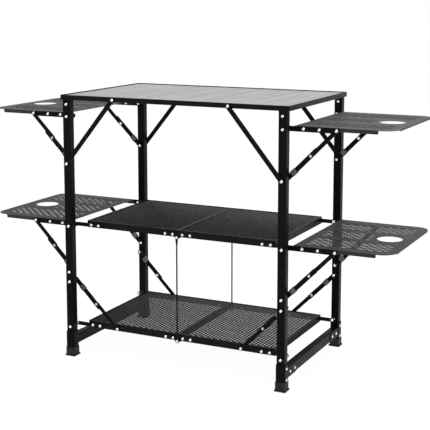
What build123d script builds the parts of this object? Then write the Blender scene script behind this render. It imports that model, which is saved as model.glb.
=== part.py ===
from build123d import *
import os
from math import atan2, cos, degrees, hypot, radians, sin

os.makedirs("parts", exist_ok=True)

# A folding camp kitchen table. Millimetres, +Z up. The origin is on the floor, midway between
# the legs. +X points to the right of someone standing in front, and +Y points to the back.

# Overall
TOP_HEIGHT = 820.0
TOP_LENGTH = 751.0
TOP_DEPTH = 475.0

# End frames
LEG_X = 355.5
LEG_Y = 225.0
LEG_WIDTH = 25.0
LEG_WALL = 1.5
LEG_ROUND = 3.0
LEG_BOTTOM = 6.0
LEG_TOP = 805.0
INNER_Y = LEG_Y - LEG_WIDTH / 2
OUTER_Y = LEG_Y + LEG_WIDTH / 2
FOOT_HEIGHT = 27.0
FOOT_WIDTH = 31.5
FOOT_LIP_WIDTH = 36.0
FOOT_LIP_HEIGHT = 3.5
CROSSBAR_WIDTH = 22.0
CROSSBAR_LOW = 33.5
CROSSBAR_HIGH = 64.5
SLEEVE_WALL = 2.2
SLEEVE_TOP = 78.0
EAR_REACH = 72.0

# Heights of the pivots on the legs
UPPER_TABLE_Z = 753.5
MIDDLE_Z = 413.0
LOW_SHELF_Z = 92.5
TOP_RIVET_Z = 791.0
BRACE_DROP = 145.0
TOP_BRACE_Z = UPPER_TABLE_Z - BRACE_DROP
LOW_BRACE_Z = MIDDLE_Z - BRACE_DROP
SHELF_BRACE_Z = 237.0
LEG_PINS = (
    TOP_RIVET_Z,
    UPPER_TABLE_Z,
    TOP_BRACE_Z,
    MIDDLE_Z,
    LOW_BRACE_Z,
    SHELF_BRACE_Z,
    LOW_SHELF_Z,
)
BRACKET_LEG_RIVETS_Z = (32.5, 66.0)
BRACKET_EAR_RIVETS_Y = (193.0, 158.0)

# Table top
RAIL_HEIGHT = 14.5
RAIL_WALL = 2.0
RIM_WIDTH = 4.0
RIM_THICKNESS = 1.2
LEDGE_WIDTH = 24.0
SLAT_COUNT = 8
SLAT_GAP = 0.7
SLAT_WALL = 1.6
SLAT_HEIGHT = 10.1
STUD_X = 190.0
STUD_Z = 811.0
TOP_BRACE_WIDTH = 14.0

# Shelves: two hinged halves each
HALF_INNER_X = 0.2
HALF_OUTER_X = 317.3
SHELF_BELOW = 7.5
SHELF_ABOVE = 13.5
SHEET = 1.5
RAIL_LIP = 6.0
MESH_THICKNESS = 1.2
MID_PIN_DROP = 8.0
SHELF_ARM_WIDTH = 12.0
SHELF_ARM_END = 268.0
ARM_RIVETS_X = (302.0, 276.0)
HINGE_RIVETS_X = (41.3, 15.7)
SHELF_BRACE_END = (211.0, LOW_SHELF_Z)

# Side tables
PANEL_INNER_X = 375.0
PANEL_OUTER_X = 665.0
PANEL_ABOVE = 8.0
PANEL_CORNER = 42.0
FLANGE_DEPTH = 11.0
FLANGE_END_X = 617.0
END_RIM_DEPTH = 4.5
CUP_HOLE_X = 596.5
CUP_HOLE_RADIUS = 37.0
SIDE_RIVETS_X = (402.5, 449.0, LEG_X + BRACE_DROP)
SIDE_ARM_WIDTH = 15.0
PANEL_SHEET = 1.2
SLOT_LENGTH = 18.0
SLOT_WIDTH = 7.0
SLOT_GAP = 8.0
SLOT_STEP = 12.5
# Each band of slots: middle in Y, number of rows, and where it starts and ends in X
SLOT_BANDS = ((-118.5, 7, 399.0, 641.0), (0.0, 6, 399.0, 549.0), (118.5, 7, 399.0, 641.0))

# Folding braces
LINK_WIDTH = 14.0
BAR_WIDTH = 12.0
LINK_WALL = 1.4
SIDE_LINK_TAIL = 25.0
SHELF_LINK_TAIL = 12.0
RING_AT = 34.0
RING_LENGTH = 18.0
RING_WALL = 1.1
RING_GAP = 0.3

# Layers, measured inwards from the inner faces of the legs (outwards is negative)
OUTER_FACE = -LEG_WIDTH
TOP_BRACE_LAYER = (OUTER_FACE - 4.5, OUTER_FACE - 2.0)
SIDE_LINK_LAYER = (3.0, 6.5)
SIDE_BAR_LAYER = (8.8, 11.3)
SIDE_ARM_LAYER = (13.0, 15.5)
SHELF_LINK_LAYER = (14.0, 17.0)
SHELF_BAR_LAYER = (18.7, 20.5)
SHELF_ARM_LAYER = (22.0, 24.5)
HINGE_LEAF_LAYER = (21.9, 24.4)
INNER_LEAF_LAYER = (26.2, 28.7)
PANEL_FACE = 15.5
SHELF_FACE = 24.5

# Rivets and pins
PIN_RADIUS = 3.0
RUNNING_FIT = 0.05
END_PLAY = 0.1
RIVET_RADIUS = 2.4
HEAD_RADIUS = 4.5
HEAD_HEIGHT = 1.4
HEAD_TAPER = 32.0
BUSH_RADIUS = 5.0

# Pull cords
CORD_RADIUS = 2.25
CORD_LAYER = 19.0
EYE_RADIUS = 6.2
EYE_LAYER = (17.4, 20.6)
FERRULE_LENGTH = 15.0
FERRULE_WIDTH = 9.0
FERRULE_DEPTH = 5.2

FRONT, BACK = -1, 1
LEFT, RIGHT = -1, 1
SIDES = (FRONT, BACK)
ENDS = {"left": LEFT, "right": RIGHT}


def y_at(side, depth):
    """Y of a layer on the front or back side."""
    return side * (INNER_Y - depth)


def layer(side, start, stop):
    """The upright plane at a layer's lower-Y face, and the extrusion that fills the layer."""
    near, far = sorted((y_at(side, start), y_at(side, stop)))
    return Plane.XZ.offset(-near), near - far


def bar(start, end, width):
    """A bar with round ends about two points of the current sketch."""
    run = (end[0] - start[0], end[1] - start[1])
    middle = (start[0] + run[0] / 2, start[1] + run[1] / 2)
    with Locations(middle):
        SlotCenterToCenter(hypot(*run), width, rotation=degrees(atan2(run[1], run[0])))


def drill(points, radius):
    """Round holes at points of the current sketch."""
    with Locations(*points):
        Circle(radius, mode=Mode.SUBTRACT)


def beyond(start, end, reach):
    """The point that lies this far past the end of a line."""
    run = (end[0] - start[0], end[1] - start[1])
    share = 1 + reach / hypot(*run)
    return (start[0] + run[0] * share, start[1] + run[1] * share)


def between(start, end, share):
    """The point at a share of the way along a line."""
    return (start[0] + (end[0] - start[0]) * share, start[1] + (end[1] - start[1]) * share)


def save(part, name):
    """Names a finished piece and writes its STEP file."""
    part.label = name
    export_step(part, f"parts/{name}.step")


def rivets(name, items, side_heads=()):
    """A group of pins along Y, front and back. Each item is x, z, a list of (start, stop, radius)
    steps and a list of (depth, direction) heads, where direction 1 points inwards. Side heads are
    round heads that face along X, each an x, y, z and the direction it points in."""
    with BuildPart() as group:
        for side in SIDES:
            for x, z, steps, heads in items:
                for start, stop, radius in steps:
                    plane, amount = layer(side, start, stop)
                    with BuildSketch(plane):
                        with Locations((x, z)):
                            Circle(radius)
                    extrude(amount=amount)
                for depth, direction in heads:
                    face = Plane((x, y_at(side, depth), z), (1, 0, 0), (0, -side * direction, 0))
                    with BuildSketch(face):
                        Circle(HEAD_RADIUS)
                    extrude(amount=HEAD_HEIGHT, taper=HEAD_TAPER)
        for x, y, z, direction in side_heads:
            with BuildSketch(Plane((x, y, z), (0, 1, 0), (direction, 0, 0))):
                Circle(HEAD_RADIUS)
            extrude(amount=HEAD_HEIGHT, taper=HEAD_TAPER)
    save(group.part, name)


def flat_bars(name, outline, span, holes, hole_radius):
    """The same flat bar on the front and the back side: outline is (start, end, width)."""
    with BuildPart() as bars:
        for side in SIDES:
            plane, amount = layer(side, *span)
            with BuildSketch(plane):
                bar(*outline)
                drill(holes, hole_radius)
            extrude(amount=amount)
    save(bars.part, name)


# ---------------------------------------------------------------- end frames


def legs(name, end):
    """Front and back leg: square tube with rounded edges, bored for its pins."""
    with BuildPart() as pair:
        with BuildSketch(Plane.XY.offset(LEG_BOTTOM)):
            with Locations((end * LEG_X, -LEG_Y), (end * LEG_X, LEG_Y)):
                RectangleRounded(LEG_WIDTH, LEG_WIDTH, LEG_ROUND)
                inner = LEG_WIDTH - 2 * LEG_WALL
                RectangleRounded(inner, inner, LEG_ROUND - LEG_WALL, mode=Mode.SUBTRACT)
        extrude(amount=LEG_TOP - LEG_BOTTOM)
        with BuildSketch(Plane.XZ.offset(-OUTER_Y)):
            with Locations(*[(end * LEG_X, z) for z in LEG_PINS]):
                Circle(PIN_RADIUS)
        extrude(amount=2 * OUTER_Y, mode=Mode.SUBTRACT)
    save(pair.part, name)


def crossbar(name, end):
    """Rectangular tube that joins the two legs near the floor."""
    length = 2 * (INNER_Y - SLEEVE_WALL)
    middle = (CROSSBAR_LOW + CROSSBAR_HIGH) / 2
    height = CROSSBAR_HIGH - CROSSBAR_LOW
    with BuildPart() as tube:
        with BuildSketch(Plane.XZ.offset(length / 2)):
            with Locations((end * LEG_X, middle)):
                RectangleRounded(CROSSBAR_WIDTH, height, LEG_ROUND)
                RectangleRounded(
                    CROSSBAR_WIDTH - 2 * LEG_WALL,
                    height - 2 * LEG_WALL,
                    LEG_ROUND - LEG_WALL,
                    mode=Mode.SUBTRACT,
                )
        extrude(amount=-length)
    save(tube.part, name)


def corner_brackets(name, end):
    """Pressed sleeves round the feet of the legs, each with an ear along the crossbar."""
    outer = LEG_WIDTH + 2 * SLEEVE_WALL
    bar_face = end * (LEG_X + CROSSBAR_WIDTH / 2)
    ear_middle = (CROSSBAR_LOW + CROSSBAR_HIGH) / 2
    ear_height = CROSSBAR_HIGH - CROSSBAR_LOW - LEG_ROUND
    with BuildPart() as pair:
        with BuildSketch(Plane.XY.offset(FOOT_HEIGHT)):
            with Locations((end * LEG_X, -LEG_Y), (end * LEG_X, LEG_Y)):
                RectangleRounded(outer, outer, LEG_ROUND + SLEEVE_WALL)
                RectangleRounded(LEG_WIDTH, LEG_WIDTH, LEG_ROUND, mode=Mode.SUBTRACT)
        extrude(amount=SLEEVE_TOP - FOOT_HEIGHT)
        for side in SIDES:
            ear_plane = Plane((bar_face, 0, 0), (0, 1, 0), (1, 0, 0))
            with BuildSketch(ear_plane):
                start = y_at(side, SLEEVE_WALL / 2)
                stop = y_at(side, EAR_REACH - ear_height / 2)
                with Locations(((start + stop) / 2, ear_middle)):
                    Rectangle(abs(start - stop), ear_height)
                with Locations((stop, ear_middle)):
                    Circle(ear_height / 2)
            extrude(amount=end * SLEEVE_WALL)
    save(pair.part, name)


def feet(name, end):
    """Moulded caps under the legs, with a lip at the floor."""
    body_height = FOOT_HEIGHT - FOOT_LIP_HEIGHT
    places = ((end * LEG_X, -LEG_Y), (end * LEG_X, LEG_Y))
    with BuildPart() as caps:
        with BuildSketch(Plane.XY):
            with Locations(*places):
                RectangleRounded(FOOT_LIP_WIDTH, FOOT_LIP_WIDTH, LEG_ROUND)
        extrude(amount=FOOT_LIP_HEIGHT)
        with BuildSketch(Plane.XY.offset(FOOT_LIP_HEIGHT)):
            with Locations(*places):
                RectangleRounded(FOOT_WIDTH, FOOT_WIDTH, LEG_ROUND + 1)
        extrude(amount=body_height)
        with BuildSketch(Plane.XY.offset(LEG_BOTTOM)):
            with Locations(*places):
                RectangleRounded(LEG_WIDTH, LEG_WIDTH, LEG_ROUND)
        extrude(amount=FOOT_HEIGHT, mode=Mode.SUBTRACT)
    save(caps.part, name)


def pin_to(span):
    """The step of a pin that runs from the leg's outer face through a moving layer."""
    return (OUTER_FACE, span[1] + END_PLAY, PIN_RADIUS)


def bush_to(span):
    """The step of a bush between the leg and a moving layer."""
    return (0.0, span[0] - END_PLAY, BUSH_RADIUS)


def head_on(span):
    """The head that keeps a moving layer on its pin."""
    return (span[1] + END_PLAY, 1)


def frame_rivets(name, end):
    """The pins through both legs that everything swings on, and the corner brackets' rivets."""
    x = end * LEG_X
    through = (OUTER_FACE, -1)
    leg_face = end * (LEG_X + LEG_WIDTH / 2 + SLEEVE_WALL)
    ear_face = end * (LEG_X + CROSSBAR_WIDTH / 2 + SLEEVE_WALL)
    ear_z = (CROSSBAR_LOW + CROSSBAR_HIGH) / 2
    side_heads = []
    for side in SIDES:
        side_heads += [(leg_face, side * LEG_Y, z, end) for z in BRACKET_LEG_RIVETS_Z]
        side_heads += [(ear_face, side * y, ear_z, end) for y in BRACKET_EAR_RIVETS_Y]
    items = [
        (x, TOP_RIVET_Z, [(OUTER_FACE, 0.0, PIN_RADIUS)], [through, (0.0, 1)]),
        (
            x,
            UPPER_TABLE_Z,
            [pin_to(SIDE_ARM_LAYER), bush_to(SIDE_ARM_LAYER)],
            [through, head_on(SIDE_ARM_LAYER)],
        ),
        (
            x,
            TOP_BRACE_Z,
            [
                (TOP_BRACE_LAYER[0] - END_PLAY, OUTER_FACE, PIN_RADIUS),
                (TOP_BRACE_LAYER[1] + END_PLAY, OUTER_FACE, BUSH_RADIUS),
                pin_to(SIDE_LINK_LAYER),
                bush_to(SIDE_LINK_LAYER),
            ],
            [(TOP_BRACE_LAYER[0] - END_PLAY, -1), head_on(SIDE_LINK_LAYER)],
        ),
        (
            x,
            MIDDLE_Z,
            [
                pin_to(SHELF_ARM_LAYER),
                bush_to(SIDE_ARM_LAYER),
                (SIDE_ARM_LAYER[1] + END_PLAY, SHELF_ARM_LAYER[0] - END_PLAY, BUSH_RADIUS),
            ],
            [through, head_on(SHELF_ARM_LAYER)],
        ),
        (
            x,
            LOW_BRACE_Z,
            [pin_to(SIDE_LINK_LAYER), bush_to(SIDE_LINK_LAYER)],
            [through, head_on(SIDE_LINK_LAYER)],
        ),
        (
            x,
            SHELF_BRACE_Z,
            [pin_to(SHELF_LINK_LAYER), bush_to(SHELF_LINK_LAYER)],
            [through, head_on(SHELF_LINK_LAYER)],
        ),
        (
            x,
            LOW_SHELF_Z,
            [pin_to(SHELF_ARM_LAYER), bush_to(SHELF_ARM_LAYER)],
            [through, head_on(SHELF_ARM_LAYER)],
        ),
    ]
    rivets(name, items, side_heads)


# ---------------------------------------------------------------- table top


def top_rails(name):
    """The frame of the top: an upright wall, a thin rim above the slats and a ledge under them."""
    low = TOP_HEIGHT - RAIL_HEIGHT
    with BuildPart() as frame:
        with BuildSketch(Plane.XY.offset(low)):
            RectangleRounded(TOP_LENGTH, TOP_DEPTH, RAIL_WALL)
            Rectangle(TOP_LENGTH - 2 * RAIL_WALL, TOP_DEPTH - 2 * RAIL_WALL, mode=Mode.SUBTRACT)
        extrude(amount=RAIL_HEIGHT)
        with BuildSketch(Plane.XY.offset(TOP_HEIGHT - RIM_THICKNESS)):
            Rectangle(TOP_LENGTH - RAIL_WALL, TOP_DEPTH - RAIL_WALL)
            Rectangle(TOP_LENGTH - 2 * RIM_WIDTH, TOP_DEPTH - 2 * RIM_WIDTH, mode=Mode.SUBTRACT)
        extrude(amount=RIM_THICKNESS)
        with BuildSketch(Plane.XY.offset(low)):
            Rectangle(TOP_LENGTH - RAIL_WALL, TOP_DEPTH - RAIL_WALL)
            Rectangle(TOP_LENGTH - 2 * LEDGE_WIDTH, TOP_DEPTH - 2 * LEDGE_WIDTH, mode=Mode.SUBTRACT)
        extrude(amount=RAIL_WALL)
        with BuildSketch(Plane.XZ.offset(-TOP_DEPTH / 2)):
            with Locations((-STUD_X, STUD_Z), (STUD_X, STUD_Z)):
                Circle(RIVET_RADIUS)
        extrude(amount=TOP_DEPTH, mode=Mode.SUBTRACT)
    save(frame.part, name)


def top_slats(name):
    """Hollow slats side by side, running from front to back and resting on the ledge."""
    span = TOP_LENGTH - 2 * RIM_WIDTH - SLAT_GAP
    pitch = span / SLAT_COUNT
    length = TOP_DEPTH - 2 * RIM_WIDTH - SLAT_GAP
    bottom = TOP_HEIGHT - RAIL_HEIGHT + RAIL_WALL
    with BuildPart() as slats:
        with BuildSketch(Plane.XZ.offset(length / 2)):
            for index in range(SLAT_COUNT):
                x = -span / 2 + pitch * (index + 0.5)
                with Locations((x, bottom + SLAT_HEIGHT / 2)):
                    Rectangle(pitch - SLAT_GAP, SLAT_HEIGHT)
                with Locations((x, bottom + (SLAT_HEIGHT - SLAT_WALL) / 2)):
                    Rectangle(
                        pitch - SLAT_GAP - 2 * SLAT_WALL, SLAT_HEIGHT - SLAT_WALL, mode=Mode.SUBTRACT
                    )
        extrude(amount=-length)
    save(slats.part, name)


def top_studs(name):
    """The studs on the rails that the top braces hook over."""
    head = TOP_BRACE_LAYER[0] - 2 * END_PLAY
    shank = (head, OUTER_FACE + RAIL_WALL, RIVET_RADIUS)
    rivets(name, [(end * STUD_X, STUD_Z, [shank], [(head, -1)]) for end in (LEFT, RIGHT)])


def top_braces(name, end):
    """Braces from the legs up to the rails, with a hooked notch that leaves its stud sideways."""
    foot = (end * LEG_X, TOP_BRACE_Z)
    head = (end * STUD_X, STUD_Z)
    angle = atan2(head[1] - foot[1], head[0] - foot[0])
    mouth = angle - end * radians(81.0)
    notch_end = (head[0] + TOP_BRACE_WIDTH * cos(mouth), head[1] + TOP_BRACE_WIDTH * sin(mouth))
    with BuildPart() as pair:
        for side in SIDES:
            plane, amount = layer(side, *TOP_BRACE_LAYER)
            with BuildSketch(plane):
                bar(foot, head, TOP_BRACE_WIDTH)
                drill([foot], PIN_RADIUS + RUNNING_FIT)
                run = (notch_end[0] - head[0], notch_end[1] - head[1])
                with Locations(between(head, notch_end, 0.5)):
                    SlotCenterToCenter(
                        hypot(*run),
                        2 * RIVET_RADIUS + 1.2,
                        rotation=degrees(atan2(run[1], run[0])),
                        mode=Mode.SUBTRACT,
                    )
            extrude(amount=amount)
    save(pair.part, name)


# ---------------------------------------------------------------- shelves


def shelf_frame(name, end, pivot_z, brace_holes):
    """Half a shelf: a frame of angle rails, its two arms to the legs and its two hinge leaves."""
    low = pivot_z - SHELF_BELOW
    high = pivot_z + SHELF_ABOVE
    length = HALF_OUTER_X - HALF_INNER_X
    depth = 2 * (INNER_Y - SHELF_FACE)
    middle = (end * (HALF_INNER_X + HALF_OUTER_X) / 2, 0)
    pin = (0, pivot_z - MID_PIN_DROP)
    arm_rivets = [(end * x, pivot_z) for x in ARM_RIVETS_X]
    leaf_rivets = [(end * x, pivot_z) for x in HINGE_RIVETS_X]
    leaf = HINGE_LEAF_LAYER if end == LEFT else INNER_LEAF_LAYER
    pin_hole = PIN_RADIUS if end == LEFT else PIN_RADIUS + RUNNING_FIT
    with BuildPart() as frame:
        for bottom, height, width in (
            (low, high - low, SHEET),
            (high - SHEET, SHEET, RAIL_LIP),
        ):
            with BuildSketch(Plane.XY.offset(bottom)):
                with Locations(middle):
                    RectangleRounded(length, depth, SHEET)
                    Rectangle(length - 2 * width, depth - 2 * width, mode=Mode.SUBTRACT)
            extrude(amount=height)
        for side in SIDES:
            plane, amount = layer(side, SHELF_FACE - 0.1, SHELF_FACE + SHEET + 0.1)
            with BuildSketch(plane):
                with Locations(*arm_rivets, *leaf_rivets, *brace_holes):
                    Circle(RIVET_RADIUS)
                with Locations(pin):
                    Circle(PIN_RADIUS + 1)
            extrude(amount=amount, mode=Mode.SUBTRACT)
            plane, amount = layer(side, SHELF_FACE + SHEET, 31.5)
            with BuildSketch(plane):
                with Locations(pin):
                    Circle(9.0)
            extrude(amount=amount, mode=Mode.SUBTRACT)
        for side in SIDES:
            plane, amount = layer(side, *SHELF_ARM_LAYER)
            with BuildSketch(plane):
                bar((end * LEG_X, pivot_z), (end * SHELF_ARM_END, pivot_z), SHELF_ARM_WIDTH)
                drill([(end * LEG_X, pivot_z)], PIN_RADIUS + RUNNING_FIT)
                drill(arm_rivets, RIVET_RADIUS)
            extrude(amount=amount)
            plane, amount = layer(side, *leaf)
            with BuildSketch(plane):
                bar((end * 44.0, pivot_z), (end * 12.0, pivot_z), SHELF_ARM_WIDTH - 0.4)
                bar((end * 12.0, pivot_z - 0.5), pin, 11.0)
                drill(leaf_rivets, RIVET_RADIUS)
                drill([pin], pin_hole)
            extrude(amount=amount)
    save(frame.part, name)


def shelf_mesh(name, end, pivot_z):
    """The expanded metal under the lip of half a shelf's frame, as a plain plate of its size."""
    margin = SHEET + 1.0
    length = HALF_OUTER_X - HALF_INNER_X - 2 * margin
    middle = (end * (HALF_INNER_X + HALF_OUTER_X) / 2, 0)
    with BuildPart() as plate:
        with BuildSketch(Plane.XY.offset(pivot_z + SHELF_ABOVE - SHEET)):
            with Locations(middle):
                Rectangle(length, 2 * (INNER_Y - SHELF_FACE - margin))
        extrude(amount=-MESH_THICKNESS)
    save(plate.part, name)


def shelf_rivets(name, end, pivot_z, extra):
    """Rivets of the arms and hinge leaves; the left half also carries the middle hinge's pins."""
    shank = (SHELF_ARM_LAYER[0], SHELF_FACE + SHEET, RIVET_RADIUS)
    arm_heads = [(SHELF_ARM_LAYER[0], -1), (SHELF_FACE + SHEET, 1)]
    items = [(end * x, pivot_z, [shank], arm_heads) for x in ARM_RIVETS_X]
    if end == LEFT:
        leaf_shank = (HINGE_LEAF_LAYER[0], SHELF_FACE + SHEET, RIVET_RADIUS)
        leaf_heads = [(HINGE_LEAF_LAYER[0], -1), (SHELF_FACE + SHEET, 1)]
        pin_steps = [
            (EYE_LAYER[0] - 0.2, INNER_LEAF_LAYER[1] + 0.1, PIN_RADIUS),
            (EYE_LAYER[1] + 0.1, HINGE_LEAF_LAYER[0] - 0.1, BUSH_RADIUS),
            (HINGE_LEAF_LAYER[1] + 0.1, INNER_LEAF_LAYER[0] - 0.1, PIN_RADIUS + 0.8),
        ]
        pin_heads = [(EYE_LAYER[0] - 0.2, -1), (INNER_LEAF_LAYER[1] + 0.1, 1)]
        items.append((0, pivot_z - MID_PIN_DROP, pin_steps, pin_heads))
    else:
        leaf_shank = (SHELF_FACE, INNER_LEAF_LAYER[1], RIVET_RADIUS)
        leaf_heads = [(SHELF_FACE, -1), (INNER_LEAF_LAYER[1], 1)]
    items += [(end * x, pivot_z, [leaf_shank], leaf_heads) for x in HINGE_RIVETS_X]
    rivets(name, items + extra)


# ---------------------------------------------------------------- braces


def leg_links(name, foot, far, tail, span, reach):
    """Front and back channel link from a leg to the brace's middle. The middle rivet's bush
    reaches in to the brace's other link."""
    middle = between(foot, far, 0.5)
    end = beyond(foot, middle, tail)
    deep = (span[0] + LINK_WALL, span[1])
    with BuildPart() as pair:
        for side in SIDES:
            plane, amount = layer(side, *span)
            with BuildSketch(plane):
                bar(foot, end, LINK_WIDTH)
                drill([foot], PIN_RADIUS + RUNNING_FIT)
                drill([middle], RIVET_RADIUS)
            extrude(amount=amount)
            plane, amount = layer(side, *deep)
            with BuildSketch(plane):
                bar(foot, end, LINK_WIDTH - 2 * LINK_WALL)
            extrude(amount=amount, mode=Mode.SUBTRACT)
            for start, radius in ((span[0], RIVET_RADIUS), (deep[0], BUSH_RADIUS - 1)):
                plane, amount = layer(side, start, reach - END_PLAY)
                with BuildSketch(plane):
                    with Locations(middle):
                        Circle(radius)
                extrude(amount=amount)
            face = Plane((middle[0], y_at(side, span[0]), middle[1]), (1, 0, 0), (0, side, 0))
            with BuildSketch(face):
                Circle(HEAD_RADIUS)
            extrude(amount=HEAD_HEIGHT, taper=HEAD_TAPER)
    save(pair.part, name)


def lock_rings(name, foot, far, span):
    """Front and back sliding ring that fits round a channel link."""
    centre = beyond(far, foot, -RING_AT)
    angle = degrees(atan2(far[1] - foot[1], far[0] - foot[0]))
    inner = (span[0] - RING_GAP, span[1] + RING_GAP)
    outer = (inner[0] - RING_WALL, inner[1] + RING_WALL)
    with BuildPart() as pair:
        for side in SIDES:
            plane, amount = layer(side, *outer)
            with BuildSketch(plane):
                with Locations(centre):
                    Rectangle(RING_LENGTH, LINK_WIDTH + 2 * (RING_GAP + RING_WALL), rotation=angle)
            extrude(amount=amount)
            plane, amount = layer(side, *inner)
            with BuildSketch(plane):
                with Locations(centre):
                    Rectangle(RING_LENGTH + 1, LINK_WIDTH + 2 * RING_GAP, rotation=angle)
            extrude(amount=amount, mode=Mode.SUBTRACT)
    save(pair.part, name)


# ---------------------------------------------------------------- side tables


def slot_places():
    """The x and y of the middle of each slot of a right-hand side table, in staggered rows."""
    places = []
    pitch = SLOT_LENGTH + SLOT_GAP
    for middle_y, rows, start, stop in SLOT_BANDS:
        for row in range(rows):
            y = middle_y + (row - (rows - 1) / 2) * SLOT_STEP
            x = start + SLOT_LENGTH / 2 + (row % 2) * pitch / 2
            while x + SLOT_LENGTH / 2 <= stop:
                places.append((x, y))
                x += pitch
    return places


def side_panel(name, end, pivot_z):
    """Pressed sheet with slots, a cup hole and flanges turned down at the front, back and end."""
    high = pivot_z + PANEL_ABOVE
    depth = 2 * (INNER_Y - PANEL_FACE)
    length = PANEL_OUTER_X - PANEL_INNER_X
    middle_x = end * (PANEL_INNER_X + PANEL_OUTER_X) / 2
    with BuildPart() as panel:
        with BuildSketch(Plane.XY.offset(high - PANEL_SHEET)) as outline:
            with Locations((middle_x, 0)):
                Rectangle(length, depth)
            outer = outline.vertices().group_by(Axis.X)[-1 if end == RIGHT else 0]
            fillet(outer, PANEL_CORNER)
            with Locations((end * CUP_HOLE_X, 0)):
                Circle(CUP_HOLE_RADIUS, mode=Mode.SUBTRACT)
            with Locations(*[(end * x, y) for x, y in slot_places()]):
                SlotOverall(SLOT_LENGTH, SLOT_WIDTH, mode=Mode.SUBTRACT)
        extrude(amount=PANEL_SHEET)
        for side in SIDES:
            plane, amount = layer(side, PANEL_FACE, PANEL_FACE + SHEET)
            with BuildSketch(plane):
                flange = end * (PANEL_INNER_X + FLANGE_END_X) / 2
                with Locations((flange, high - FLANGE_DEPTH / 2)):
                    RectangleRounded(FLANGE_END_X - PANEL_INNER_X, FLANGE_DEPTH, 4.0)
                with Locations((flange, high - FLANGE_DEPTH / 4)):
                    Rectangle(FLANGE_END_X - PANEL_INNER_X, FLANGE_DEPTH / 2)
                with Locations(*[(end * x, pivot_z) for x in SIDE_RIVETS_X]):
                    Circle(RIVET_RADIUS, mode=Mode.SUBTRACT)
            extrude(amount=amount)
        with BuildSketch(Plane.XY.offset(high - END_RIM_DEPTH)):
            with Locations((end * (PANEL_OUTER_X - SHEET / 2), 0)):
                Rectangle(SHEET, depth - 2 * PANEL_CORNER)
        extrude(amount=END_RIM_DEPTH)
    save(panel.part, name)


def side_arms(name, end, pivot_z):
    """The two arms that carry a side table on the legs' pins."""
    tip = (end * SIDE_RIVETS_X[-1], pivot_z)
    with BuildPart() as pair:
        for side in SIDES:
            plane, amount = layer(side, *SIDE_ARM_LAYER)
            with BuildSketch(plane):
                bar((end * LEG_X, pivot_z), tip, SIDE_ARM_WIDTH)
                drill([(end * LEG_X, pivot_z)], PIN_RADIUS + RUNNING_FIT)
                drill([(end * x, pivot_z) for x in SIDE_RIVETS_X], RIVET_RADIUS)
            extrude(amount=amount)
    save(pair.part, name)


def side_rivets(name, end, pivot_z):
    """Rivets through arm and flange; the outermost one also carries the brace."""
    tail = PANEL_FACE + SHEET
    plain = [(SIDE_ARM_LAYER[0], tail, RIVET_RADIUS)]
    plain_heads = [(SIDE_ARM_LAYER[0], -1), (tail, 1)]
    carrying = [
        (SIDE_BAR_LAYER[0] - END_PLAY, tail, RIVET_RADIUS),
        (SIDE_BAR_LAYER[1] + END_PLAY, SIDE_ARM_LAYER[0], BUSH_RADIUS),
    ]
    carrying_heads = [(SIDE_BAR_LAYER[0] - END_PLAY, -1), (tail, 1)]
    items = [(end * x, pivot_z, plain, plain_heads) for x in SIDE_RIVETS_X[:2]]
    items.append((end * SIDE_RIVETS_X[-1], pivot_z, carrying, carrying_heads))
    rivets(name, items)


# ---------------------------------------------------------------- pull cords


def pull_cord(name, side):
    """A taut cord between the middle hinges of the two shelves."""
    top = MIDDLE_Z - MID_PIN_DROP - EYE_RADIUS - FERRULE_LENGTH
    bottom = LOW_SHELF_Z - MID_PIN_DROP + EYE_RADIUS
    with BuildPart() as cord:
        with BuildLine() as route:
            Polyline((0, y_at(side, CORD_LAYER), bottom), (0, y_at(side, CORD_LAYER), top))
        with BuildSketch(Plane.XY.offset(bottom)):
            with Locations((0, y_at(side, CORD_LAYER))):
                Circle(CORD_RADIUS)
        sweep(path=route.line)
    print(name, "length", top - bottom, "volume", cord.part.volume)
    save(cord.part, name)


def cord_fittings(name):
    """Eyes round the hinge pins at both ends of each cord, and the ferrules below the upper eyes."""
    with BuildPart() as fittings:
        for side in SIDES:
            for z in (MIDDLE_Z - MID_PIN_DROP, LOW_SHELF_Z - MID_PIN_DROP):
                plane, amount = layer(side, *EYE_LAYER)
                with BuildSketch(plane):
                    with Locations((0, z)):
                        Circle(EYE_RADIUS)
                        Circle(PIN_RADIUS + 2 * RUNNING_FIT, mode=Mode.SUBTRACT)
                extrude(amount=amount)
            top = MIDDLE_Z - MID_PIN_DROP - EYE_RADIUS
            with BuildSketch(Plane.XY.offset(top + 0.5)):
                with Locations((0, y_at(side, CORD_LAYER))):
                    RectangleRounded(FERRULE_WIDTH, FERRULE_DEPTH, FERRULE_DEPTH / 2 - 0.1)
            with BuildSketch(Plane.XY.offset(top - FERRULE_LENGTH)):
                with Locations((0, y_at(side, CORD_LAYER))):
                    RectangleRounded(FERRULE_DEPTH + 0.2, FERRULE_DEPTH, FERRULE_DEPTH / 2 - 0.1)
            loft()
    save(fittings.part, name)


# ---------------------------------------------------------------- the whole table

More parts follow.
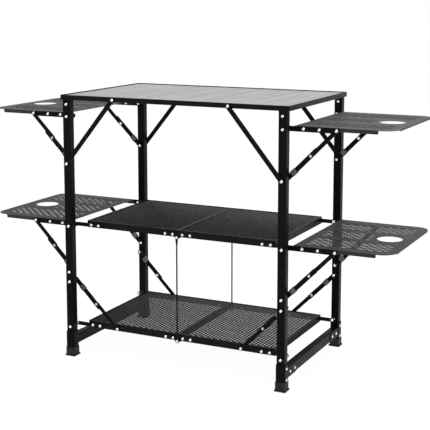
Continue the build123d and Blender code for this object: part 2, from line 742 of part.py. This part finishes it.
for word, end in ENDS.items():
    legs(f"{word}_legs", end)
    crossbar(f"{word}_crossbar", end)
    corner_brackets(f"{word}_corner_brackets", end)
    feet(f"{word}_feet", end)
    frame_rivets(f"{word}_leg_rivets", end)
    top_braces(f"{word}_top_braces", end)

    for level, pivot_z in (("upper", UPPER_TABLE_Z), ("lower", MIDDLE_Z)):
        table = f"{level}_{word}"
        hinge = (end * LEG_X, pivot_z - BRACE_DROP)
        far = (end * SIDE_RIVETS_X[-1], pivot_z)
        side_panel(f"{table}_side_panel", end, pivot_z)
        side_arms(f"{table}_side_arms", end, pivot_z)
        side_rivets(f"{table}_side_rivets", end, pivot_z)
        leg_links(
            f"{table}_leg_links", hinge, far, SIDE_LINK_TAIL, SIDE_LINK_LAYER, SIDE_BAR_LAYER[0]
        )
        flat_bars(
            f"{table}_table_links",
            (far, between(hinge, far, 0.5), BAR_WIDTH),
            SIDE_BAR_LAYER,
            [far],
            RIVET_RADIUS + RUNNING_FIT,
        )
        lock_rings(f"{table}_lock_rings", hinge, far, SIDE_LINK_LAYER)

    brace_end = (end * SHELF_BRACE_END[0], SHELF_BRACE_END[1])
    brace_hinge = (end * LEG_X, SHELF_BRACE_Z)
    leg_links(
        f"{word}_shelf_leg_links",
        brace_hinge,
        brace_end,
        SHELF_LINK_TAIL,
        SHELF_LINK_LAYER,
        SHELF_BAR_LAYER[0],
    )
    flat_bars(
        f"{word}_shelf_bars",
        (brace_end, between(brace_hinge, brace_end, 0.5), BAR_WIDTH),
        SHELF_BAR_LAYER,
        [brace_end],
        RIVET_RADIUS + RUNNING_FIT,
    )
    lock_rings(f"{word}_shelf_lock_rings", brace_hinge, brace_end, SHELF_LINK_LAYER)

    brace_rivet = (
        *brace_end,
        [
            (SHELF_BAR_LAYER[0] - END_PLAY, SHELF_FACE + SHEET, RIVET_RADIUS),
            (SHELF_BAR_LAYER[1] + END_PLAY, SHELF_FACE, BUSH_RADIUS - 0.5),
        ],
        [(SHELF_BAR_LAYER[0] - END_PLAY, -1), (SHELF_FACE + SHEET, 1)],
    )
    for level, pivot_z, extra in (("middle", MIDDLE_Z, []), ("lower", LOW_SHELF_Z, [brace_rivet])):
        brace_holes = [item[:2] for item in extra]
        shelf_frame(f"{level}_{word}_shelf_frame", end, pivot_z, brace_holes)
        shelf_mesh(f"{level}_{word}_shelf_mesh", end, pivot_z)
        shelf_rivets(f"{level}_{word}_shelf_rivets", end, pivot_z, extra)

top_rails("top_rails")
top_slats("top_slats")
top_studs("top_studs")
pull_cord("front_pull_cord", FRONT)
pull_cord("back_pull_cord", BACK)
cord_fittings("cord_fittings")
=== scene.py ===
import math

import bmesh
import bpy
from mathutils import Matrix, Vector


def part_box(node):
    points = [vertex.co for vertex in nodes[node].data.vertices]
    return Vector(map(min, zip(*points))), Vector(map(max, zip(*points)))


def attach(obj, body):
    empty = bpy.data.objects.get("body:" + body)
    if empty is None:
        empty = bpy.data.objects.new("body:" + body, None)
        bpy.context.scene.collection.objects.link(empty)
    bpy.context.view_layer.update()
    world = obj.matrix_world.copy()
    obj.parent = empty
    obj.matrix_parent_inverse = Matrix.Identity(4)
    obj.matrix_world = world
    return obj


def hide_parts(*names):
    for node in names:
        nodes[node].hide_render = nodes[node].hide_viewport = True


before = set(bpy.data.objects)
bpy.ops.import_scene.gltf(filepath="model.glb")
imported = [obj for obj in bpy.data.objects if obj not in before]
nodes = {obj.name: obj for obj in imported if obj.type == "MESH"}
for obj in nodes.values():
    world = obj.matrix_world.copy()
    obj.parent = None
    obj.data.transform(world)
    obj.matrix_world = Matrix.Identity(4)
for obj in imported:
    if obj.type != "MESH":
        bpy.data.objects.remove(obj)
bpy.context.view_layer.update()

LEFT, RIGHT = -1, 1
FRONT, BACK = -1, 1

# Where the legs, pivots and braces are, in metres
LEG_X = 0.3555
INNER_Y = 0.2125
UPPER_TABLE_Z = 0.7535
MIDDLE_Z = 0.413
LOW_SHELF_Z = 0.0925
SIDE_RIVET_X = 0.5005
BRACE_DROP = 0.145
SHELF_BRACE_Z = 0.237
SHELF_BRACE_X = 0.211

# The taut pull cords, front and back, from the ferrule down to the lower eye
CORD_Y = 0.1935
CORD_TOP_Z = 0.3838
CORD_BOTTOM_Z = 0.0907
CORD_DIAMETER = 0.0045


# ---------------------------------------------------------------- node materials


class Shader:
    """A small builder for one principled material."""

    def __init__(self, name):
        self.material = bpy.data.materials.new(name)
        self.material.use_nodes = True
        self.tree = self.material.node_tree
        self.principled = self.tree.nodes["Principled BSDF"]
        self.place = self.node("ShaderNodeTexCoord").outputs["Object"]

    def node(self, kind, **inputs):
        made = self.tree.nodes.new(kind)
        for key, value in inputs.items():
            self.put(made.inputs[key.replace("_", " ")], value)
        return made

    def put(self, socket, value):
        if isinstance(value, bpy.types.NodeSocket):
            self.tree.links.new(value, socket)
        else:
            socket.default_value = value

    def set(self, **inputs):
        for key, value in inputs.items():
            self.put(self.principled.inputs[key.replace("_", " ")], value)

    def stretched(self, x, y, z):
        mapping = self.node("ShaderNodeMapping", Vector=self.place, Scale=(x, y, z))
        return mapping.outputs["Vector"]

    def noise(self, scale, detail=3.0, rough=0.55, vector=None):
        made = self.node("ShaderNodeTexNoise", Vector=vector or self.place, Scale=scale, Detail=detail)
        made.inputs["Roughness"].default_value = rough
        return made.outputs["Fac"]

    def spread(self, value, low, high, start=0.3, stop=0.7):
        made = self.node("ShaderNodeMapRange", Value=value)
        made.inputs["From Min"].default_value = start
        made.inputs["From Max"].default_value = stop
        made.inputs["To Min"].default_value = low
        made.inputs["To Max"].default_value = high
        return made.outputs["Result"]

    def blend(self, factor, dark, light):
        made = self.tree.nodes.new("ShaderNodeMix")
        made.data_type = "RGBA"
        self.put(made.inputs[0], factor)
        self.put(made.inputs[6], (*dark, 1.0))
        self.put(made.inputs[7], (*light, 1.0))
        return made.outputs[2]

    def bump(self, height, strength, distance):
        made = self.node("ShaderNodeBump", Height=height, Strength=strength, Distance=distance)
        return made.outputs["Normal"]


def grey(value):
    return (value, value, value * 1.02)


def powder_coat(name, dark, light, rough, grain, strength, shine):
    """Semi-gloss powder coat: orange-peel grain, faint clouding and slightly uneven gloss."""
    shader = Shader(name)
    shader.principled.inputs["Specular IOR Level"].default_value = shine
    clouds = shader.noise(14.0, 4.0)
    peel = shader.noise(grain, 2.0)
    shader.set(
        Base_Color=shader.blend(shader.spread(clouds, 0.0, 1.0), grey(dark), grey(light)),
        Roughness=shader.spread(shader.noise(60.0, 3.0), rough - 0.05, rough + 0.06),
        Normal=shader.bump(peel, strength, 0.0004),
    )
    return shader.material


def zinc():
    """Zinc plate on rivets and pins: bright, with a fine grain and dull patches."""
    shader = Shader("zinc_plate")
    patches = shader.noise(420.0, 3.0)
    shader.set(
        Base_Color=shader.blend(shader.spread(patches, 0.0, 1.0), (0.72, 0.72, 0.73), (0.93, 0.93, 0.94)),
        Roughness=shader.spread(shader.noise(900.0, 2.0), 0.16, 0.3),
        Metallic=1.0,
        Normal=shader.bump(shader.noise(2400.0, 2.0), 0.12, 0.0002),
    )
    return shader.material


def slat_finish():
    """Grey coated aluminium with a drawn grain that runs along the slats."""
    shader = Shader("slat_grain")
    along = shader.stretched(520.0, 9.0, 60.0)
    broad = shader.stretched(46.0, 3.2, 8.0)
    shader.principled.inputs["Specular IOR Level"].default_value = 0.25
    fine = shader.noise(1.0, 4.0, 0.6, along)
    wide = shader.noise(1.0, 3.0, 0.5, broad)
    tone = shader.node("ShaderNodeMath", Value=fine)
    tone.operation = "ADD"
    shader.put(tone.inputs[1], wide)
    shader.set(
        Base_Color=shader.blend(shader.spread(tone.outputs[0], 0.0, 1.0, 0.75, 1.25), grey(0.15), grey(0.23)),
        Roughness=shader.spread(fine, 0.34, 0.5),
        Metallic=0.25,
        Normal=shader.bump(fine, 0.16, 0.0004),
    )
    return shader.material


def moulded(name, dark, light):
    """Moulded rubbery plastic with a fine spark-eroded texture."""
    shader = Shader(name)
    shader.principled.inputs["Specular IOR Level"].default_value = 0.2
    shader.set(
        Base_Color=shader.blend(shader.spread(shader.noise(30.0), 0.0, 1.0), grey(dark), grey(light)),
        Roughness=shader.spread(shader.noise(250.0), 0.5, 0.66),
        Normal=shader.bump(shader.noise(1900.0, 2.0), 0.3, 0.0004),
    )
    return shader.material


def braid():
    """Braided cord: crossing strands in the bump and a little in the colour."""
    shader = Shader("braided_cord")
    shader.principled.inputs["Specular IOR Level"].default_value = 0.1
    waves = []
    for sign in (1, -1):
        slanted = shader.node("ShaderNodeMapping", Vector=shader.place, Rotation=(0.0, sign * 0.6, 0.0))
        wave = shader.node("ShaderNodeTexWave", Vector=slanted.outputs["Vector"], Scale=210.0)
        wave.bands_direction = "Z"
        waves.append(wave.outputs["Fac"])
    cross = shader.node("ShaderNodeMath", Value=waves[0])
    cross.operation = "MULTIPLY"
    shader.put(cross.inputs[1], waves[1])
    shader.set(
        Base_Color=shader.blend(cross.outputs[0], grey(0.003), grey(0.014)),
        Roughness=0.72,
        Normal=shader.bump(cross.outputs[0], 0.5, 0.0006),
    )
    return shader.material


FRAME_BLACK = powder_coat("frame_powder_coat", 0.002, 0.005, 0.36, 2600.0, 0.22, 0.05)
FITTING_BLACK = powder_coat("fitting_powder_coat", 0.002, 0.005, 0.42, 3000.0, 0.22, 0.06)
RAIL_BLACK = powder_coat("rail_powder_coat", 0.004, 0.008, 0.36, 2600.0, 0.22, 0.07)
PANEL_GREY = powder_coat("panel_powder_coat", 0.020, 0.028, 0.5, 1700.0, 0.35, 0.2)
MESH_BLACK = powder_coat("mesh_powder_coat", 0.009, 0.015, 0.42, 2600.0, 0.2, 0.3)
RING_GREY = powder_coat("ring_coat", 0.07, 0.12, 0.34, 1500.0, 0.3, 0.5)
FOOT_BLACK = moulded("foot_plastic", 0.010, 0.018)
FERRULE_BLACK = moulded("ferrule_plastic", 0.008, 0.014)
ZINC = zinc()
SLAT_GREY = slat_finish()
CORD_BLACK = braid()


def finish_for(name):
    if name.endswith("rivets") or name.endswith("studs"):
        return ZINC
    if name.endswith("lock_rings"):
        return RING_GREY
    if name.endswith("feet"):
        return FOOT_BLACK
    if name.endswith("fittings"):
        return FERRULE_BLACK
    if name.endswith("cord"):
        return CORD_BLACK
    if name.endswith("mesh"):
        return MESH_BLACK
    if name.endswith("side_panel"):
        return PANEL_GREY
    if name == "top_slats":
        return SLAT_GREY
    if name == "top_rails" or name.endswith("shelf_frame"):
        return RAIL_BLACK
    if name.endswith(("legs", "crossbar", "corner_brackets")):
        return FRAME_BLACK
    return FITTING_BLACK


SOFT_SEGMENTS = 2
SHARP_ANGLE = 40


def soften(piece, width):
    """Rounds a piece's sharp edges, so that they catch the light."""
    edge = piece.modifiers.new("soft_edges", "BEVEL")
    edge.width = width
    edge.segments = SOFT_SEGMENTS
    edge.limit_method = "ANGLE"
    edge.angle_limit = math.radians(SHARP_ANGLE)
    edge.harden_normals = False


def edge_width(name):
    """How far a node's edges are rounded; none for the pieces that are swapped for finer ones."""
    if name.endswith(("rivets", "studs")):
        return 0.0008
    if name.endswith(("feet", "slats")):
        return 0.0006
    if name.endswith(("mesh", "cord")):
        return 0.0
    if name.endswith(("legs", "crossbar", "rails")):
        return 0.0005
    return 0.0003


for name, node in nodes.items():
    if edge_width(name):
        soften(node, edge_width(name))
    if not node.material_slots:
        node.data.materials.append(finish_for(name))
    for slot in node.material_slots:
        slot.material = finish_for(name)


# ---------------------------------------------------------------- building pieces


def piece_from(mesh_data, name, material, body):
    mesh = bpy.data.meshes.new(name)
    mesh_data.to_mesh(mesh)
    mesh_data.free()
    piece = bpy.data.objects.new(name, mesh)
    bpy.context.collection.objects.link(piece)
    mesh.materials.append(material)
    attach(piece, body)
    return piece


# ---------------------------------------------------------------- expanded metal

# The wanted size of a diamond; each half shelf takes the nearest whole number of them
CELL_LONG = 0.0215
CELL_SHORT = 0.0137
STRAND_WIDTH = 0.0024
STRAND_HEIGHT = 0.0018
STRAND_TILT = 0.0004
MESH_CLEARANCE = 0.0001


def strand(mesh_data, start, end, low, half_width, height):
    """One strand of the mesh: a bar between two joints, a little higher at one side, as pressed."""
    run = Vector((end[0] - start[0], end[1] - start[1]))
    across = Vector((-run.y, run.x)).normalized() * half_width
    tilt = STRAND_TILT if across.y > 0 else -STRAND_TILT
    corners = []
    for x, y in (start, end):
        for side, rise in ((-1, 0.0), (1, 0.0), (1, height), (-1, height)):
            z = low + rise + (side * tilt if rise else 0.0)
            corners.append(mesh_data.verts.new((x + side * across.x, y + side * across.y, z)))
    a, b = corners[:4], corners[4:]
    for i in range(4):
        j = (i + 1) % 4
        mesh_data.faces.new((a[i], a[j], b[j], b[i]))
    mesh_data.faces.new(a[::-1])
    mesh_data.faces.new(b)


def expanded_metal(name, node, body):
    """Diamonds of crossing strands, up to the frame's walls and just under its lip."""
    low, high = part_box(node)
    base = high[2] - MESH_CLEARANCE - STRAND_HEIGHT
    columns = max(2, round((high[0] - low[0]) / CELL_LONG))
    rows = max(2, round((high[1] - low[1]) / CELL_SHORT))
    step_x = (high[0] - low[0]) / columns
    step_y = (high[1] - low[1]) / rows
    data = bmesh.new()
    for column in range(columns):
        for row in range(rows):
            x = low[0] + (column + 0.5) * step_x
            y = low[1] + (row + 0.5) * step_y
            left, right = (x - step_x / 2, y), (x + step_x / 2, y)
            near, far = (x, y - step_y / 2), (x, y + step_y / 2)
            for start, end in ((left, near), (near, right), (right, far), (far, left)):
                strand(data, start, end, base, STRAND_WIDTH / 2, STRAND_HEIGHT)
    piece = piece_from(data, name, MESH_BLACK, body)
    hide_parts(node)


for level in ("middle", "lower"):
    for word in ("left", "right"):
        half = f"{level}_{word}_shelf"
        expanded_metal(f"{half}_expanded_metal", f"{half}_mesh", half)


# ---------------------------------------------------------------- rivet domes


DOME_RINGS = 5
DOME_SIDES = 20


def dome(mesh_data, centre, normal, radius, height):
    """A round rivet head: rings of a flattened half ball, closed at the back."""
    turn = Vector((0, 0, 1)).rotation_difference(Vector(normal)).to_matrix().to_4x4()
    place = Matrix.Translation(Vector(centre)) @ turn
    loops = []
    for ring in range(DOME_RINGS):
        angle = ring / DOME_RINGS * math.pi / 2
        r, h = radius * math.cos(angle), height * math.sin(angle)
        loop = []
        for k in range(DOME_SIDES):
            t = 2 * math.pi * k / DOME_SIDES
            loop.append(mesh_data.verts.new(place @ Vector((r * math.cos(t), r * math.sin(t), h))))
        loops.append(loop)
    top = mesh_data.verts.new(place @ Vector((0, 0, height)))
    for lower, upper in zip(loops, loops[1:]):
        for k in range(DOME_SIDES):
            j = (k + 1) % DOME_SIDES
            mesh_data.faces.new((lower[k], lower[j], upper[j], upper[k]))
    for k in range(DOME_SIDES):
        mesh_data.faces.new((loops[-1][k], loops[-1][(k + 1) % DOME_SIDES], top))
    mesh_data.faces.new(loops[0][::-1])
    for face in mesh_data.faces:
        face.smooth = True


DOME_RADIUS = 0.0047
DOME_HEIGHT = 0.0018
INNER_DOME_HEIGHT = 0.0012

# Almost flush, because a side table's own rivets pass these domes when it is fully down
FLUSH_DOME_HEIGHT = 0.0002

# How far inside the legs' inner faces each link's domes stand
LEG_LINK_DEPTH = 0.003
TABLE_LINK_DEPTH = 0.0113
SHELF_LINK_DEPTH = 0.014
SHELF_BAR_DEPTH = 0.0205


def brace_domes(body, foot, far, depth, inwards, height):
    """Bright rivet domes at the middle of a front and back brace, on one face of its links."""
    x, z = (foot[0] + far[0]) / 2, (foot[1] + far[1]) / 2
    data = bmesh.new()
    for side in (FRONT, BACK):
        way = -side if inwards else side
        dome(data, (x, side * (INNER_Y - depth), z), (0, way, 0), DOME_RADIUS, height)
    place = "inner" if inwards else "outer"
    piece_from(data, f"{body}_{place}_domes", ZINC, body)


for word, end in (("left", LEFT), ("right", RIGHT)):
    for level, pivot_z in (("upper", UPPER_TABLE_Z), ("lower", MIDDLE_Z)):
        foot, far = (end * LEG_X, pivot_z - BRACE_DROP), (end * SIDE_RIVET_X, pivot_z)
        brace_domes(f"{level}_{word}_leg_links", foot, far, LEG_LINK_DEPTH, False, DOME_HEIGHT)
        brace_domes(f"{level}_{word}_table_links", foot, far, TABLE_LINK_DEPTH, True, FLUSH_DOME_HEIGHT)
    foot, far = (end * LEG_X, SHELF_BRACE_Z), (end * SHELF_BRACE_X, LOW_SHELF_Z)
    brace_domes(f"{word}_shelf_leg_links", foot, far, SHELF_LINK_DEPTH, False, DOME_HEIGHT)
    brace_domes(f"{word}_shelf_bars", foot, far, SHELF_BAR_DEPTH, True, INNER_DOME_HEIGHT)


# ---------------------------------------------------------------- pull cords


def pull_cord(name, node, side):
    """A taut cord from the ferrule under the upper eye down to the lower eye."""
    y = side * CORD_Y
    curve = bpy.data.curves.new(name, "CURVE")
    curve.dimensions = "3D"
    curve.bevel_depth = CORD_DIAMETER / 2
    curve.bevel_resolution = 5
    curve.use_fill_caps = True
    line = curve.splines.new("NURBS")
    points = [(0, y, CORD_TOP_Z), (0, y, (CORD_TOP_Z + CORD_BOTTOM_Z) / 2), (0, y, CORD_BOTTOM_Z)]
    line.points.add(len(points) - 1)
    for point, place in zip(line.points, points):
        point.co = (*place, 1.0)
    line.order_u = 3
    line.use_endpoint_u = True
    piece = bpy.data.objects.new(name, curve)
    bpy.context.collection.objects.link(piece)
    curve.materials.append(CORD_BLACK)
    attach(piece, "pull_cords")
    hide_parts(node)


pull_cord("front_braided_cord", "front_pull_cord", FRONT)
pull_cord("back_braided_cord", "back_pull_cord", BACK)


# ---------------------------------------------------------------- floor, light and camera


WORLD_STRENGTH = 0.7
FLOOR_HALF = 600.0
FLOOR_Z = -0.0005
FLOOR_GLOW = 0.96

# Each softbox: where it stands, its side length, its power in watts and where it points
SOFTBOXES = (
    ((0.3, 0.3, 3.4), 3.2, 190.0, (0.0, 0.0, 0.4)),
    ((3.2, 0.6, 1.9), 2.0, 16.0, (0.0, 0.0, 0.4)),
)

CAMERA_PLACE = (1.49872, -2.988, 1.13436)
CAMERA_DOWN = 8.36
CAMERA_TURN = 26.14
CAMERA_LENS = 91.09
CAMERA_SHIFT_Y = -65 / 430


def studio():
    world = bpy.data.worlds.new("studio")
    bpy.context.scene.world = world
    world.use_nodes = True
    world.node_tree.nodes["Background"].inputs["Color"].default_value = (1.0, 1.0, 1.0, 1.0)
    world.node_tree.nodes["Background"].inputs["Strength"].default_value = WORLD_STRENGTH

    data = bmesh.new()
    corners = []
    for x, y in ((-1, -1), (1, -1), (1, 1), (-1, 1)):
        corners.append(data.verts.new((x * FLOOR_HALF, y * FLOOR_HALF, FLOOR_Z)))
    data.faces.new(corners)
    mesh = bpy.data.meshes.new("floor")
    data.to_mesh(mesh)
    data.free()
    floor = bpy.data.objects.new("floor", mesh)
    bpy.context.collection.objects.link(floor)
    shader = Shader("floor_paper")
    shader.set(
        Base_Color=shader.blend(shader.noise(0.6), (0.05, 0.05, 0.05), (0.07, 0.07, 0.07)),
        Roughness=0.9,
        Specular_IOR_Level=0.0,
        Emission_Color=(1.0, 1.0, 1.0, 1.0),
        Emission_Strength=FLOOR_GLOW,
    )
    mesh.materials.append(shader.material)

    for place, size, power, aim in SOFTBOXES:
        lamp = bpy.data.lights.new("softbox", "AREA")
        lamp.shape = "SQUARE"
        lamp.size = size
        lamp.energy = power
        light = bpy.data.objects.new("softbox", lamp)
        light.location = place
        light.rotation_euler = (Vector(aim) - Vector(place)).to_track_quat("-Z", "Y").to_euler()
        bpy.context.collection.objects.link(light)


def camera():
    data = bpy.data.cameras.new("camera")
    data.sensor_width = 36.0
    data.lens = CAMERA_LENS
    data.shift_y = CAMERA_SHIFT_Y
    data.clip_end = 3000.0
    view = bpy.data.objects.new("camera", data)
    view.location = CAMERA_PLACE
    view.rotation_euler = (math.radians(90.0 - CAMERA_DOWN), 0.0, math.radians(CAMERA_TURN))
    bpy.context.collection.objects.link(view)
    bpy.context.scene.camera = view


studio()
camera()
bpy.context.scene.view_settings.view_transform = "Standard"
